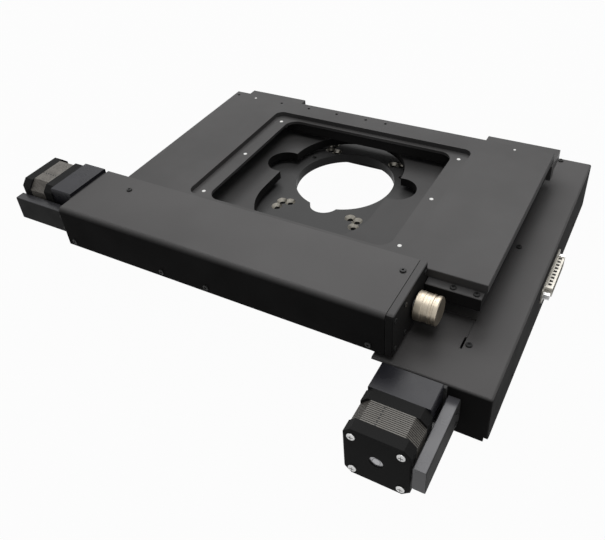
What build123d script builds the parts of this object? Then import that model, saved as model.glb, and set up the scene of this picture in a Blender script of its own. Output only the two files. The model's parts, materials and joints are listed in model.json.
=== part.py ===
"""Motorized xy stage for an inverted microscope, in millimetres.

A base plate carries the middle carriage along Y, and the middle carriage carries the top plate along X.
Each way has a stepper motor, a lead screw in a covered drive bay, and a pair of crossed-roller rails.
The stack is drawn from the bench up, and each piece is saved with the origin moved to the centre of the
light aperture on the base plate's underside, where the microscope carries it. +X right, +Y back, +Z up.
"""
from build123d import *
import math
import os

os.makedirs("parts", exist_ok=True)

# Heights of the stack
PLATE_T = 8.0                   # base plate thickness
BAR_H = 32.0                    # bars that lift the base plate off the bench
BASE_TOP = BAR_H + PLATE_T
LIFT = 4.7                      # free height between base plate and carriage plate
CARRIAGE_T = 7.3
CARRIAGE_Z = BASE_TOP + LIFT
CARRIAGE_TOP = CARRIAGE_Z + CARRIAGE_T
BEAM_H = 13.2                   # height of the carriage's raised beams
BEAM_TOP = CARRIAGE_TOP + BEAM_H
TOP_GAP = 0.3                   # top plate rides this far above the beams
TOP_T = 6.5
TOP_Z = BEAM_TOP + TOP_GAP
TOP_TOP = TOP_Z + TOP_T

# Base plate and its bars
BASE_L, BASE_R = -113.5, 98.0
BASE_F, BASE_B = -108.0, 103.0
BAR_W = 24.0
BAR_OUT = 24.5                  # how far the side bars stand out past the base plate's left edge
APERTURE_R = 42.4
NOTCH_R, NOTCH_REACH = 12.5, 50.0
MOUNT_GRIDS = [(70.5, 105.0), (69.6, 89.0), (56.0, 86.0)]
MOUNT_MID_Y = -3.5
MOUNT_HOLE_R = 2.25
MOUNT_SINK_R = 4.5
PIN_R, PIN_X, PIN_Y = 2.0, 42.4, 23.0

# Top plate
TOP_L, TOP_W = -144.2, 302.8
TOP_F, TOP_D = -113.5, 171.3
TOP_B = TOP_F + TOP_D
RECESS_W, RECESS_D, RECESS_R = TOP_W - 118.8, TOP_D - 29.3, 7.0
RECESS_DEEP = 4.0
RECESS_X, RECESS_Y = TOP_L + TOP_W / 2 - 0.5, TOP_F + TOP_D / 2 - 5.95
LEDGE_SIDE, LEDGE_END = 14.5, 4.3
OPENING_R = 11.0
PAD_R, PAD_T = 1.5, 0.8         # plugs set flush in the ledge
PAD_SIDE, PAD_PITCH = 8.2, 60.7
EDGE_HOLES_X = [-139.3, -90.9, -61.6, -32.8, -3.8, 15.3]
EDGE_HOLE_R = 1.25
EDGE_HOLE_IN = 6.5

# Middle carriage plate
CARRIAGE_L, CARRIAGE_R = -138.0, 112.0
CARRIAGE_B = TOP_B - 0.8        # the carriage ends just inside the top plate's back edge
SLOT_R = 49.5
SLOT_BACK_Y, SLOT_FRONT_Y = CARRIAGE_B - SLOT_R - 3.5, -52.0
EAR_R, EAR_X, EAR_Y = 15.5, 53.0, -9.5
TAB_REACH = 19.0
TAB_LEFT = (-138.2, -79.7)
TAB_RIGHT = (100.2, 159.8)
TAB_T = 8.2
SIDE_BEAM_W = 17.0
LEDGE_R_X = 156.9
LEDGE_F_Y = -120.5
LEDGE_T = 10.2

# Crossed-roller rails
RAIL_W = 5.5
RAIL_GAP = 0.7
RAIL_H = 9.0
GROOVE = 1.4
ROLLER_R, ROLLER_L = 0.95, 1.6
ROLLERS = 8
CAGE_T, CAGE_H = 0.25, 5.0

# Rail places along X: centre lines of the fixed rails, and the starts and lengths along X
X_FRONT_FIXED_Y = TOP_F + 2.9
X_BACK_FIXED_Y = TOP_B - 12.6
GUARD_DEEP = 8.6                # rib under the top plate that hides the back rail
RAIL_CLEAR = 0.35
X_BACK_RAIL_B = X_BACK_FIXED_Y + RAIL_W / 2
X_FIXED_START, X_FIXED_LEN = -136.0, 246.0
X_MOVING_START, X_MOVING_LEN = -130.0, 214.0
X_CAGE_START, X_CAGE_LEN = -100.0, 170.0

# Drive module, measured along the screw from the motor's rear face
MOTOR_SIDE = 42.3
MOTOR_CAP_REAR, MOTOR_STACK, MOTOR_CAP_FRONT = 9.0, 15.5, 8.5
MOTOR_LEN = MOTOR_CAP_REAR + MOTOR_STACK + MOTOR_CAP_FRONT
MOTOR_CHAMFER = 4.6
STACK_CHAMFER = 7.0
MOTOR_BOLT = 31.0
BOLT_HEAD_R, BOLT_HEAD_T = 2.75, 1.8
SHAFT_R = 2.5
SEAT_R, SEAT_DEEP = 4.6, 2.4    # seat of the bearing in the rear cap
RUN_CLEAR = 0.05                # radial clearance of a running fit
FREE_CLEAR = 0.5                # radial clearance where nothing may touch
BLOCK_INSET = 0.95              # the block stands in from the motor's sides
BLOCK_W, BLOCK_LEN = MOTOR_SIDE - 2 * BLOCK_INSET, 20.7
BLOCK_TOP = 21.2
GASKET_T = 2.5
GASKET_DROP = 3.0
BAY_START = MOTOR_LEN + BLOCK_LEN + GASKET_T
SIDE_BAR_W, SIDE_BAR_H = 8.0, 20.0
SIDE_BAR_GAP = 1.3
GASKET_GAP = 0.75               # from gasket to side bar
SIDE_BAR_RISE = 0.1
COUPLING_R, COUPLING_L = 9.0, 16.0
SCREW_R = 4.0
NUT_R, NUT_LEN, NUT_FLANGE_R, NUT_FLANGE_T = 8.0, 20.0, 11.0, 4.0
BEARING_R, BEARING_T = 7.5, 5.0
BLOCK_END_T = 10.0
SHEET = 1.5

# Y drive bay, on the right of the base
Y_AXIS_X, Y_AXIS_Z = 134.0, 22.0
Y_MOTOR_Y = -230.0
BAY_L, BAY_R = 112.8, 183.0
BAY_F, BAY_B = Y_MOTOR_Y + BAY_START, 103.2
BAY_TOP = 41.2
BAY_BEND = 3.0
BAY_BOTTOM_R = 6.0
LIP_X, LIP_BACK_Y = 105.3, -112.0
COVER_LEFT_X = 120.5
TRAY_T = 4.0
PANEL_X, PANEL_Y = (112.0, 152.0), (-143.0, -114.5)
PANEL_SLOT, PANEL_NOTCH = 1.6, 11.0     # finger slot at the panel's front right corner
PANEL_GAP = 0.3
SOCKET_Y, SOCKET_Z = -29.0, 22.0
Y_NUT_Y = -60.0

# X drive bay, on the front of the carriage
X_AXIS_Y, X_AXIS_Z = -135.7, 59.8
X_MOTOR_X = -212.7
HOUSE_L, HOUSE_R = X_MOTOR_X + BAY_START, 113.3
HOUSE_F, HOUSE_B = -171.6, -115.0
HOUSE_TOP = 79.0
HOUSE_BEND = 3.5
HOUSE_BACK_OPEN = TOP_Z + 0.7
END_PLATE_T = 5.4
X_NUT_X = -10.0
ARM_T = 3.8
NUT_CHANNEL_DEEP = 4.2           # groove in the carriage plate that the X nut runs over
NUT_CHANNEL_X = (-100.0, 60.0)
KNOB_R, KNOB_LEN, KNOB_GAP = 10.0, 15.5, 1.6
KNOB_GROOVES = 4
SCREW_HEAD_R, SCREW_HEAD_T = 2.2, 1.1
SMALL_HEAD_R, SMALL_HEAD_T = 1.5, 0.8

saved = []


def save(name, shape):
    """Write one named piece, with the base plate's underside at Z = 0."""
    shape = Pos(0, 0, -BAR_H) * shape
    shape.label = name
    export_step(shape, f"parts/{name}.step")
    saved.append(name)
    print(name, round(shape.volume, 1), "mm3")


def block(x, y, z):
    """A box from three (low, high) pairs."""
    size = (x[1] - x[0], y[1] - y[0], z[1] - z[0])
    centre = ((x[0] + x[1]) / 2, (y[0] + y[1]) / 2, (z[0] + z[1]) / 2)
    return Pos(*centre) * Box(*size)


def rod(radius, length, start, along="z"):
    """A round bar that starts at a point and runs along +X, +Y or +Z."""
    turn = {"x": Rot(0, 90, 0), "y": Rot(-90, 0, 0), "z": Rot(0, 0, 0)}[along]
    bar = Cylinder(radius, length, align=(Align.CENTER, Align.CENTER, Align.MIN))
    return Pos(*start) * turn * bar


def rounded_plate(x, y, z, radius):
    """A plate with rounded upright corners."""
    plate = block(x, y, z)
    return fillet(plate.edges().filter_by(Axis.Z), radius)


def head(radius, thick, place, along="z"):
    """A button-head screw's head with its hexagon socket."""
    turn = {"x": Rot(0, 90, 0), "y": Rot(-90, 0, 0), "-y": Rot(90, 0, 0), "z": Rot(0, 0, 0)}[along]
    cap = Cylinder(radius, thick, align=(Align.CENTER, Align.CENTER, Align.MIN))
    cap = chamfer(cap.edges().group_by(Axis.Z)[-1], thick * 0.35)
    socket = extrude(RegularPolygon(radius * 0.45, 6), thick * 0.6)
    return Pos(*place) * turn * (cap - Pos(0, 0, thick * 0.4) * socket)


def group(solids):
    """Several separate solids kept in one node."""
    return Compound(list(solids))


# Places of the two drive modules: local +Y runs along the screw, local +X faces outward
Y_MODULE = Location((Y_AXIS_X, Y_MOTOR_Y, Y_AXIS_Z))
X_MODULE = Location((X_MOTOR_X, X_AXIS_Y, X_AXIS_Z), (0, 0, -90))


def motor_section(chamfered):
    """Square motor outline with cut corners, on the XZ plane."""
    square = Rectangle(MOTOR_SIDE, MOTOR_SIDE)
    return Plane.XZ * chamfer(square.vertices(), chamfered)


def motor_body(start, length, chamfered):
    """A slice of the motor along its axis, with the shaft's free bore."""
    body = extrude(motor_section(chamfered), -length)
    body = Pos(0, start, 0) * body
    return body - rod(SHAFT_R + FREE_CLEAR, length + 2, (0, start - 1, 0), "y")


def motor_pieces():
    """The stepper motor, its mounting block, gasket and side bar."""
    corners = [(sx * MOTOR_BOLT / 2, sz * MOTOR_BOLT / 2) for sx in (-1, 1) for sz in (-1, 1)]
    rear = motor_body(0, MOTOR_CAP_REAR, MOTOR_CHAMFER)
    rear = chamfer(rear.edges().group_by(Axis.Y)[0].filter_by(GeomType.LINE), 0.8)
    rear -= rod(SEAT_R, SEAT_DEEP + 0.1, (0, -0.1, 0), "y")
    ring = rod(SEAT_R, 1.4, (0, SEAT_DEEP - 1.4, 0), "y") - rod(SHAFT_R + RUN_CLEAR, 4, (0, 0, 0), "y")
    for x, z in corners:
        rear -= rod(BOLT_HEAD_R + 0.2, 0.9, (x, -0.1, z), "y")
    stack = motor_body(MOTOR_CAP_REAR, MOTOR_STACK, STACK_CHAMFER)
    front = motor_body(MOTOR_CAP_REAR + MOTOR_STACK, MOTOR_CAP_FRONT, MOTOR_CHAMFER)
    screws = []
    for x, z in corners:
        pan = Cylinder(BOLT_HEAD_R, BOLT_HEAD_T, align=(Align.CENTER, Align.CENTER, Align.MIN))
        pan = fillet(pan.edges().group_by(Axis.Z)[-1], 0.8)
        cross = Box(3.2, 0.7, 1.6) + Box(0.7, 3.2, 1.6)
        pan -= Pos(0, 0, BOLT_HEAD_T) * cross
        screws.append(Pos(x, 0.8, z) * Rot(90, 0, 0) * pan)
    half = BLOCK_W / 2
    mount = block((-half, half), (MOTOR_LEN, MOTOR_LEN + BLOCK_LEN), (-BLOCK_TOP, BLOCK_TOP))
    mount = chamfer(mount.edges().filter_by(Axis.Y), 0.6)
    mount -= rod(COUPLING_R + 2.5, BLOCK_LEN + 2, (0, MOTOR_LEN - 1, 0), "y")
    gasket_y = (MOTOR_LEN + BLOCK_LEN, BAY_START)
    gasket_z = (-BLOCK_TOP + 1.0, BLOCK_TOP - GASKET_DROP)
    bar_x = MOTOR_SIDE / 2 + SIDE_BAR_GAP
    gasket = block((-half + 2, bar_x - GASKET_GAP), gasket_y, gasket_z)
    gasket -= rod(COUPLING_R + 2.5, GASKET_T + 2, (0, gasket_y[0] - 1, 0), "y")
    bar_z = (-SIDE_BAR_H / 2 + SIDE_BAR_RISE, SIDE_BAR_H / 2 + SIDE_BAR_RISE)
    bar = block((bar_x, bar_x + SIDE_BAR_W), (0, BAY_START), bar_z)
    bar = chamfer(bar.edges().filter_by(Axis.Y), 0.5)
    bar_screws = [head(SMALL_HEAD_R, SMALL_HEAD_T, (bar_x + SIDE_BAR_W, BAY_START - 7, z), "x")
                  for z in (bar_z[0] + 4.5, bar_z[1] - 4.5)]
    return {"motor_rear_cap": rear, "motor_bearing": ring, "motor_laminations": stack, "motor_front_cap": front,
            "motor_screws": group(screws), "motor_block": mount, "motor_gasket": gasket,
            "side_bar": bar, "side_bar_screws": group(bar_screws)}


def drive_line(screw_end, shaft_name):
    """Motor shaft, coupling and lead screw of one module, all turning together."""
    joint_y = MOTOR_LEN + BLOCK_LEN / 2
    shaft = chamfer(rod(SHAFT_R, joint_y - 1.5 - 0.5, (0, 0.5, 0), "y").edges().group_by(Axis.Y)[0], 0.3)
    coupling = rod(COUPLING_R, COUPLING_L, (0, joint_y - COUPLING_L / 2, 0), "y")
    for offset in (-2.6, 2.6):
        ring = rod(COUPLING_R + 1, 1.0, (0, joint_y + offset - 0.5, 0), "y")
        coupling -= ring - rod(COUPLING_R - 1.6, 1.0, (0, joint_y + offset - 0.5, 0), "y")
    coupling -= rod(SHAFT_R, COUPLING_L / 2 - 0.5, (0, joint_y - COUPLING_L / 2 - 1, 0), "y")
    coupling -= rod(SCREW_R, COUPLING_L / 2, (0, joint_y + 1.5, 0), "y")
    screw = rod(SCREW_R, screw_end - joint_y - 1.5, (0, joint_y + 1.5, 0), "y")
    return {"motor_shaft": shaft, "coupling": coupling, shaft_name: screw}


def bearing(start):
    """A ball bearing seen as one ring, along local +Y."""
    ring = rod(BEARING_R, BEARING_T, (0, start, 0), "y")
    return ring - rod(SCREW_R + RUN_CLEAR, BEARING_T + 2, (0, start - 1, 0), "y")


def nut():
    """Flanged round nut centred on local Y = 0; its threads are a plain clear bore."""
    body = rod(NUT_R, NUT_LEN, (0, -NUT_LEN / 2, 0), "y")
    body += rod(NUT_FLANGE_R, NUT_FLANGE_T, (0, -NUT_LEN / 2 - NUT_FLANGE_T, 0), "y")
    return body - rod(SCREW_R + FREE_CLEAR, NUT_LEN * 2, (0, -NUT_LEN, 0), "y")


def rail(length, side, groove_z):
    """One rail along +Y with a V groove on its +X (side 1) or -X (side -1) face."""
    bar = block((-RAIL_W / 2, RAIL_W / 2), (0, length), (0, RAIL_H))
    groove = Plane.XZ * Pos(side * RAIL_W / 2, groove_z) * Rot(0, 0, 45) * Rectangle(GROOVE * 1.42, GROOVE * 1.42)
    return bar - extrude(groove, -length)


def cage(length):
    """The strip that spaces the rollers, along +Y, standing in the rail gap with its middle at Z = 0."""
    strip = block((-CAGE_T / 2, CAGE_T / 2), (0, length), (-CAGE_H / 2, CAGE_H / 2))
    pitch = length / ROLLERS
    for i in range(ROLLERS):
        window = (pitch * (i + 0.5) - 1.4, pitch * (i + 0.5) + 1.4)
        strip -= block((-1, 1), window, (-1.4, 1.4))
    return strip


def rollers(length):
    """Rollers crossed in turn, in the cage's windows."""
    pitch = length / ROLLERS
    out = []
    for i in range(ROLLERS):
        tilt = 45 if i % 2 else -45
        out.append(Pos(0, pitch * (i + 0.5), 0) * Rot(0, tilt, 0) * Cylinder(ROLLER_R, ROLLER_L))
    return out


def placed(move, solids):
    """The same solids moved to another place."""
    return [move * s for s in solids]


# Base plate with its aperture, notch, countersunk mounting holes and pin holes
plate = block((BASE_L, BASE_R), (BASE_F, BASE_B), (BAR_H, BASE_TOP))
plate = fillet(plate.edges().filter_by(Axis.Z), 3)
plate -= rod(APERTURE_R, PLATE_T + 2, (0, 0, BAR_H - 1))
plate -= rod(NOTCH_R, PLATE_T + 2, (0, NOTCH_R - NOTCH_REACH, BAR_H - 1))
for width, depth in MOUNT_GRIDS:
    for sx in (-1, 1):
        for sy in (-1, 1):
            x, y = sx * width / 2, MOUNT_MID_Y + sy * depth / 2
            plate -= rod(MOUNT_HOLE_R, PLATE_T + 2, (x, y, BAR_H - 1))
            sink = MOUNT_SINK_R - MOUNT_HOLE_R
            cone = Cone(MOUNT_HOLE_R, MOUNT_SINK_R, sink, align=(Align.CENTER, Align.CENTER, Align.MAX))
            plate -= Pos(x, y, BASE_TOP) * cone
for sx in (-1, 1):
    plate -= rod(PIN_R, PLATE_T + 2, (sx * PIN_X, PIN_Y, BAR_H - 1))
save("base_plate", plate)

# Bars that carry the base plate: left, right, back and front
BAR_L_OUT = BASE_L - BAR_OUT
RIGHT_BAR_X = (BAY_L - 0.2 - BAR_W, BAY_L - 0.2)
left_bar = block((BAR_L_OUT, BAR_L_OUT + BAR_W + 10), (BASE_F, BASE_B), (0, BAR_H))
right_bar = block(RIGHT_BAR_X, (BASE_F, BASE_B), (0, BAR_H))
bars_x = (BAR_L_OUT + BAR_W + 10, RIGHT_BAR_X[0])
back_bar = block(bars_x, (BASE_B - 20, BASE_B), (0, BAR_H))
front_bar = block(bars_x, (BASE_F, BASE_F + 20), (0, BAR_H))
save("base_bars", group([chamfer(b.edges().group_by(Axis.Z)[0], 0.8)
                         for b in (left_bar, right_bar, back_bar, front_bar)]))

# Y rails: one fixed and one moving rail on each side, with rollers between
Y_FIXED_LEN, Y_MOVING_LEN, Y_CAGE_LEN = 206.0, 150.0, 110.0
Y_FIXED_START, Y_MOVING_START, Y_CAGE_START = BASE_F + 2, -95.0, -92.0
PAIR = RAIL_W + RAIL_GAP
Y_GROOVE_Z = (BAR_H + CARRIAGE_Z) / 2
Y_MOVING_Z = CARRIAGE_Z - RAIL_H
y_left_x = BASE_L - 0.2 - RAIL_W / 2
y_right_x = BASE_R + 0.2 + RAIL_W / 2
fixed_groove = Y_GROOVE_Z - BAR_H
moving_groove = Y_GROOVE_Z - Y_MOVING_Z
save("y_rails_fixed", group([
    Pos(y_left_x, Y_FIXED_START, BAR_H) * rail(Y_FIXED_LEN, -1, fixed_groove),
    Pos(y_right_x, Y_FIXED_START, BAR_H) * rail(Y_FIXED_LEN, 1, fixed_groove)]))
save("y_rails_moving", group([
    Pos(y_left_x - PAIR, Y_MOVING_START, Y_MOVING_Z) * rail(Y_MOVING_LEN, 1, moving_groove),
    Pos(y_right_x + PAIR, Y_MOVING_START, Y_MOVING_Z) * rail(Y_MOVING_LEN, -1, moving_groove)]))
y_cage_places = [Pos(y_left_x - PAIR / 2, Y_CAGE_START, Y_GROOVE_Z),
                 Pos(y_right_x + PAIR / 2, Y_CAGE_START, Y_GROOVE_Z)]
save("y_roller_cages", group([p * cage(Y_CAGE_LEN) for p in y_cage_places]))
save("y_rollers", group([r for p in y_cage_places for r in placed(p, rollers(Y_CAGE_LEN))]))

# Y drive bay: tray, bearing blocks, sheet cover, its panel and screws
tray = block((BAY_L, BAY_R - SHEET - 0.2), (BAY_F + BAY_BOTTOM_R + 0.4, BAY_B - SHEET - 0.2), (0, TRAY_T))
save("y_drive_tray", chamfer(tray.edges().group_by(Axis.Z)[0], 0.6))
y_block_x = (Y_AXIS_X - 16, Y_AXIS_X + 16)
Y_FRONT_BLOCK = (BAY_F + SHEET + 0.3, BAY_F + SHEET + 0.3 + BLOCK_END_T)
Y_REAR_BLOCK = (BAY_B - 18, BAY_B - 18 + BLOCK_END_T)
y_blocks = []
for span in (Y_FRONT_BLOCK, Y_REAR_BLOCK):
    end = block(y_block_x, span, (TRAY_T, Y_AXIS_Z + 14))
    end -= rod(BEARING_R + RUN_CLEAR, BEARING_T + 0.1, (Y_AXIS_X, span[0] - 0.1, Y_AXIS_Z), "y")
    end -= rod(SCREW_R + FREE_CLEAR, BLOCK_END_T + 2, (Y_AXIS_X, span[0] - 1, Y_AXIS_Z), "y")
    y_blocks.append(chamfer(end.edges().group_by(Axis.Z)[-1].filter_by(Axis.Y), 2))
save("y_bearing_blocks", group(y_blocks))
save("y_bearings", group([Pos(Y_AXIS_X, 0, Y_AXIS_Z) * bearing(span[0]) for span in (Y_FRONT_BLOCK, Y_REAR_BLOCK)]))

bay_outline = Polyline((LIP_X, BAY_F), (BAY_R, BAY_F), (BAY_R, BAY_B), (COVER_LEFT_X, BAY_B),
                       (COVER_LEFT_X, LIP_BACK_Y), (LIP_X, LIP_BACK_Y), close=True)
top_sheet = Pos(0, 0, BAY_TOP - SHEET) * extrude(make_face(bay_outline), SHEET)
right_wall = block((BAY_R - SHEET, BAY_R), (BAY_F, BAY_B), (0, BAY_TOP))
front_wall = block((BAY_L, BAY_R), (BAY_F, BAY_F + SHEET), (0, BAY_TOP))
back_wall = block((BAY_L, BAY_R), (BAY_B - SHEET, BAY_B), (0, BAY_TOP))
cover = top_sheet + right_wall + front_wall + back_wall
outer_corners = cover.edges().filter_by(Axis.Z).filter_by_position(Axis.X, BAY_R - 0.01, BAY_R + 0.01)
cover = fillet(outer_corners, SHEET - 0.1)
bend = cover.edges().filter_by(Axis.Y).group_by(Axis.Z)[-1].sort_by(Axis.X)[-1]
cover = fillet(bend, SHEET - 0.1)
corner_cut = block((BAY_R - SHEET - 1, BAY_R + 1), (BAY_F - 1, BAY_F + BAY_BOTTOM_R), (-1, BAY_BOTTOM_R))
corner_cut -= rod(BAY_BOTTOM_R, SHEET + 4, (BAY_R - SHEET - 2, BAY_F + BAY_BOTTOM_R, BAY_BOTTOM_R), "x")
cover -= corner_cut
cover -= rod(COUPLING_R + 2.5, SHEET + 2, (Y_AXIS_X, BAY_F - 1, Y_AXIS_Z), "y")
cover -= block((PANEL_X[0], PANEL_X[1] + PANEL_SLOT), PANEL_Y, (BAY_TOP - SHEET - 1, BAY_TOP + 1))
cover -= block((BAY_R - SHEET - 1, BAY_R + 1), (SOCKET_Y - 24, SOCKET_Y + 24), (SOCKET_Z - 5.2, SOCKET_Z + 5.2))
save("y_drive_cover", cover)
panel = block((PANEL_X[0] + PANEL_GAP, PANEL_X[1] + PANEL_SLOT - PANEL_GAP),
              (PANEL_Y[0] + PANEL_GAP, PANEL_Y[1] - PANEL_GAP), (BAY_TOP - SHEET - 0.4, BAY_TOP - 0.4))
panel -= block((PANEL_X[1], PANEL_X[1] + PANEL_SLOT), (PANEL_Y[0], PANEL_Y[0] + PANEL_NOTCH), (0, BAY_TOP))
save("y_cover_panel", panel)
cover_screw_tops = [(156.7, -138.2), (158.3, 99.0), (158.3, -30.0)]
save("y_cover_screws", group([head(SCREW_HEAD_R, SCREW_HEAD_T, (x, y, BAY_TOP)) for x, y in cover_screw_tops]
     + [head(SMALL_HEAD_R, SMALL_HEAD_T, (BAY_R, y, 7.0), "x") for y in (-120.0, 60.0)]))

# 25-way D connector on the bay's right side
flange = fillet(block((BAY_R, BAY_R + 1.0), (SOCKET_Y - 26.5, SOCKET_Y + 26.5),
                      (SOCKET_Z - 6.25, SOCKET_Z + 6.25)).edges().filter_by(Axis.X), 1.5)
d_shape = make_face(Polyline((-19.6, 4.15), (19.6, 4.15), (18.2, -4.15), (-18.2, -4.15), close=True))
d_shape = fillet(d_shape.vertices(), 2.0)
d_wall = offset(d_shape, 0.5) - d_shape
d_place = Plane(origin=(BAY_R, SOCKET_Y, SOCKET_Z), x_dir=(0, 1, 0), z_dir=(1, 0, 0))
connector = flange + extrude(d_place * d_wall, 6.0) - extrude(d_place * offset(d_shape, -0.05), 2.0)
for sy in (-1, 1):
    connector -= rod(1.6, 3, (BAY_R - 1, SOCKET_Y + sy * 23.5, SOCKET_Z), "x")
save("connector_shell", connector)
insert = extrude(d_place * offset(d_shape, -0.1), 5.2) + block(
    (BAY_R - 6, BAY_R), (SOCKET_Y - 20, SOCKET_Y + 20), (SOCKET_Z - 5, SOCKET_Z + 5))
for row, count in ((1.4, 13), (-1.4, 12)):
    for i in range(count):
        y = SOCKET_Y + (i - (count - 1) / 2) * 2.76
        insert -= rod(0.55, 3, (BAY_R + 3, y, SOCKET_Z + row), "x")
save("connector_insert", insert)
hexes = [extrude(d_place * Pos(sy * 23.5, 0) * RegularPolygon(2.6, 6), 5.5)
         - rod(1.1, 6, (BAY_R + 1.5, SOCKET_Y + sy * 23.5, SOCKET_Z), "x") for sy in (-1, 1)]
save("connector_hex_posts", group([h - block((BAY_R - 1, BAY_R + 1), (SOCKET_Y - 30, SOCKET_Y + 30), (0, 40))
                                   for h in hexes]))

# Both motors with what they bolt to, and the turning line inside each drive bay
SCREW_END_Y = Y_REAR_BLOCK[1] - Y_MOTOR_Y - 1
KNOB_X = HOUSE_R + END_PLATE_T + KNOB_GAP
SCREW_END_X = KNOB_X - X_MOTOR_X
for letter, module, end in (("y", Y_MODULE, SCREW_END_Y), ("x", X_MODULE, SCREW_END_X)):
    pieces = motor_pieces()
    pieces.update(drive_line(end, "lead_screw"))
    for name, shape in pieces.items():
        save(f"{letter}_{name}", module * shape)

# Middle carriage: plate with the slot and finger ears
carriage = block((CARRIAGE_L, CARRIAGE_R), (HOUSE_B + 1, CARRIAGE_B), (CARRIAGE_Z, CARRIAGE_TOP))
carriage += block((HOUSE_L + SHEET + 0.2, HOUSE_R - 0.3), (HOUSE_F + SHEET + 0.1, HOUSE_B + 2),
                  (CARRIAGE_Z, CARRIAGE_TOP))
slot = block((-SLOT_R, SLOT_R), (SLOT_FRONT_Y, SLOT_BACK_Y), (CARRIAGE_Z - 1, CARRIAGE_TOP + 1))
for y in (SLOT_FRONT_Y, SLOT_BACK_Y):
    slot += rod(SLOT_R, CARRIAGE_T + 2, (0, y, CARRIAGE_Z - 1))
for sx in (-1, 1):
    slot += rod(EAR_R, CARRIAGE_T + 2, (sx * EAR_X, EAR_Y, CARRIAGE_Z - 1))
carriage -= slot
channel_y = (X_AXIS_Y - NUT_FLANGE_R - 1, X_AXIS_Y + NUT_FLANGE_R + 1)
carriage -= block(NUT_CHANNEL_X, channel_y, (CARRIAGE_TOP - NUT_CHANNEL_DEEP, CARRIAGE_TOP + 1))
save("carriage_plate", carriage)

# Raised beams of the middle carriage: back beam with its two tabs, right beam with the front ledge
back_beam = block((TAB_LEFT[0], TAB_RIGHT[1]), (X_BACK_RAIL_B + 0.3, CARRIAGE_B), (CARRIAGE_TOP, BEAM_TOP))
for tab in (TAB_LEFT, TAB_RIGHT):
    back_beam += block(tab, (CARRIAGE_B - 1, CARRIAGE_B + TAB_REACH), (BEAM_TOP - TAB_T, BEAM_TOP))
save("back_beam", back_beam)
side_x = (LEDGE_R_X - SIDE_BEAM_W, LEDGE_R_X)
side_beam = block(side_x, (LEDGE_F_Y, X_BACK_RAIL_B), (BEAM_TOP - LEDGE_T, BEAM_TOP))
side_beam += block((HOUSE_R + END_PLATE_T + 0.4, side_x[0] + 1), (LEDGE_F_Y, -108.5), (BEAM_TOP - LEDGE_T, BEAM_TOP))
side_beam = chamfer(side_beam.edges().group_by(Axis.Z)[-1], 0.4)
save("side_beam", side_beam)
ledge_screws = [(137.2, -117.0), (152.8, -117.0)]
save("ledge_screws", group([head(SCREW_HEAD_R, SCREW_HEAD_T, (x, y, BEAM_TOP)) for x, y in ledge_screws]))

# X rails: fixed pair on the carriage plate, moving pair under the top plate
X_GROOVE_Z = (CARRIAGE_TOP + TOP_Z) / 2
X_MOVING_Z = TOP_Z - RAIL_H
x_pairs = [(X_FRONT_FIXED_Y, X_FRONT_FIXED_Y + PAIR, 1), (X_BACK_FIXED_Y, X_BACK_FIXED_Y - PAIR, -1)]
TURN_X = Rot(0, 0, -90)
fixed, moving, cages, roller_list = [], [], [], []
for fixed_y, moving_y, side in x_pairs:
    at_fixed = Pos(X_FIXED_START, fixed_y, CARRIAGE_TOP) * TURN_X
    at_moving = Pos(X_MOVING_START, moving_y, X_MOVING_Z) * TURN_X
    at_cage = Pos(X_CAGE_START, (fixed_y + moving_y) / 2, X_GROOVE_Z) * TURN_X
    fixed.append(at_fixed * rail(X_FIXED_LEN, -side, X_GROOVE_Z - CARRIAGE_TOP))
    moving.append(at_moving * rail(X_MOVING_LEN, side, X_GROOVE_Z - X_MOVING_Z))
    cages.append(at_cage * cage(X_CAGE_LEN))
    roller_list += placed(at_cage, rollers(X_CAGE_LEN))
save("x_rails_fixed", group(fixed))
save("x_rails_moving", group(moving))
save("x_roller_cages", group(cages))
save("x_rollers", group(roller_list))

# X drive bay on the carriage: bearing blocks, sheet cover, end plate and screws
X_LEFT_BLOCK = (HOUSE_L + SHEET + 0.3, HOUSE_L + SHEET + 0.3 + BLOCK_END_T)
X_RIGHT_BLOCK = (HOUSE_R - 0.4 - BLOCK_END_T, HOUSE_R - 0.4)
x_blocks, x_rings = [], []
for span in (X_LEFT_BLOCK, X_RIGHT_BLOCK):
    end = block(span, (X_AXIS_Y - 16, X_AXIS_Y + 16), (CARRIAGE_TOP, X_AXIS_Z + 14))
    end -= rod(BEARING_R + RUN_CLEAR, BEARING_T + 0.1, (span[0] - 0.1, X_AXIS_Y, X_AXIS_Z), "x")
    end -= rod(SCREW_R + FREE_CLEAR, BLOCK_END_T + 2, (span[0] - 1, X_AXIS_Y, X_AXIS_Z), "x")
    x_blocks.append(chamfer(end.edges().group_by(Axis.Z)[-1].filter_by(Axis.X), 2))
    x_rings.append(Pos(span[0], X_AXIS_Y, X_AXIS_Z) * TURN_X * bearing(0))
save("x_bearing_blocks", group(x_blocks))
save("x_bearings", group(x_rings))

house = block((HOUSE_L, HOUSE_R), (HOUSE_F, HOUSE_B), (CARRIAGE_Z, HOUSE_TOP))
front_top = house.edges().filter_by(Axis.X).group_by(Axis.Z)[-1].sort_by(Axis.Y)[0]
house = fillet(front_top, HOUSE_BEND)
hollow = block((HOUSE_L + SHEET, HOUSE_R + 1), (HOUSE_F + SHEET, HOUSE_B - SHEET),
               (CARRIAGE_Z - 1, HOUSE_TOP - SHEET))
inner_bend = hollow.edges().filter_by(Axis.X).group_by(Axis.Z)[-1].sort_by(Axis.Y)[0]
house -= fillet(inner_bend, HOUSE_BEND - SHEET)
house -= block((HOUSE_L - 1, HOUSE_R + 1), (HOUSE_B - SHEET - 0.5, HOUSE_B + 1), (CARRIAGE_Z - 1, HOUSE_BACK_OPEN))
house -= rod(COUPLING_R + 2.5, SHEET + 2, (HOUSE_L - 1, X_AXIS_Y, X_AXIS_Z), "x")
save("x_drive_cover", house)
top_screws = [(x, X_AXIS_Y + 6, HOUSE_TOP) for x in (HOUSE_L + 35.4, HOUSE_R - 5.7)]
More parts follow.
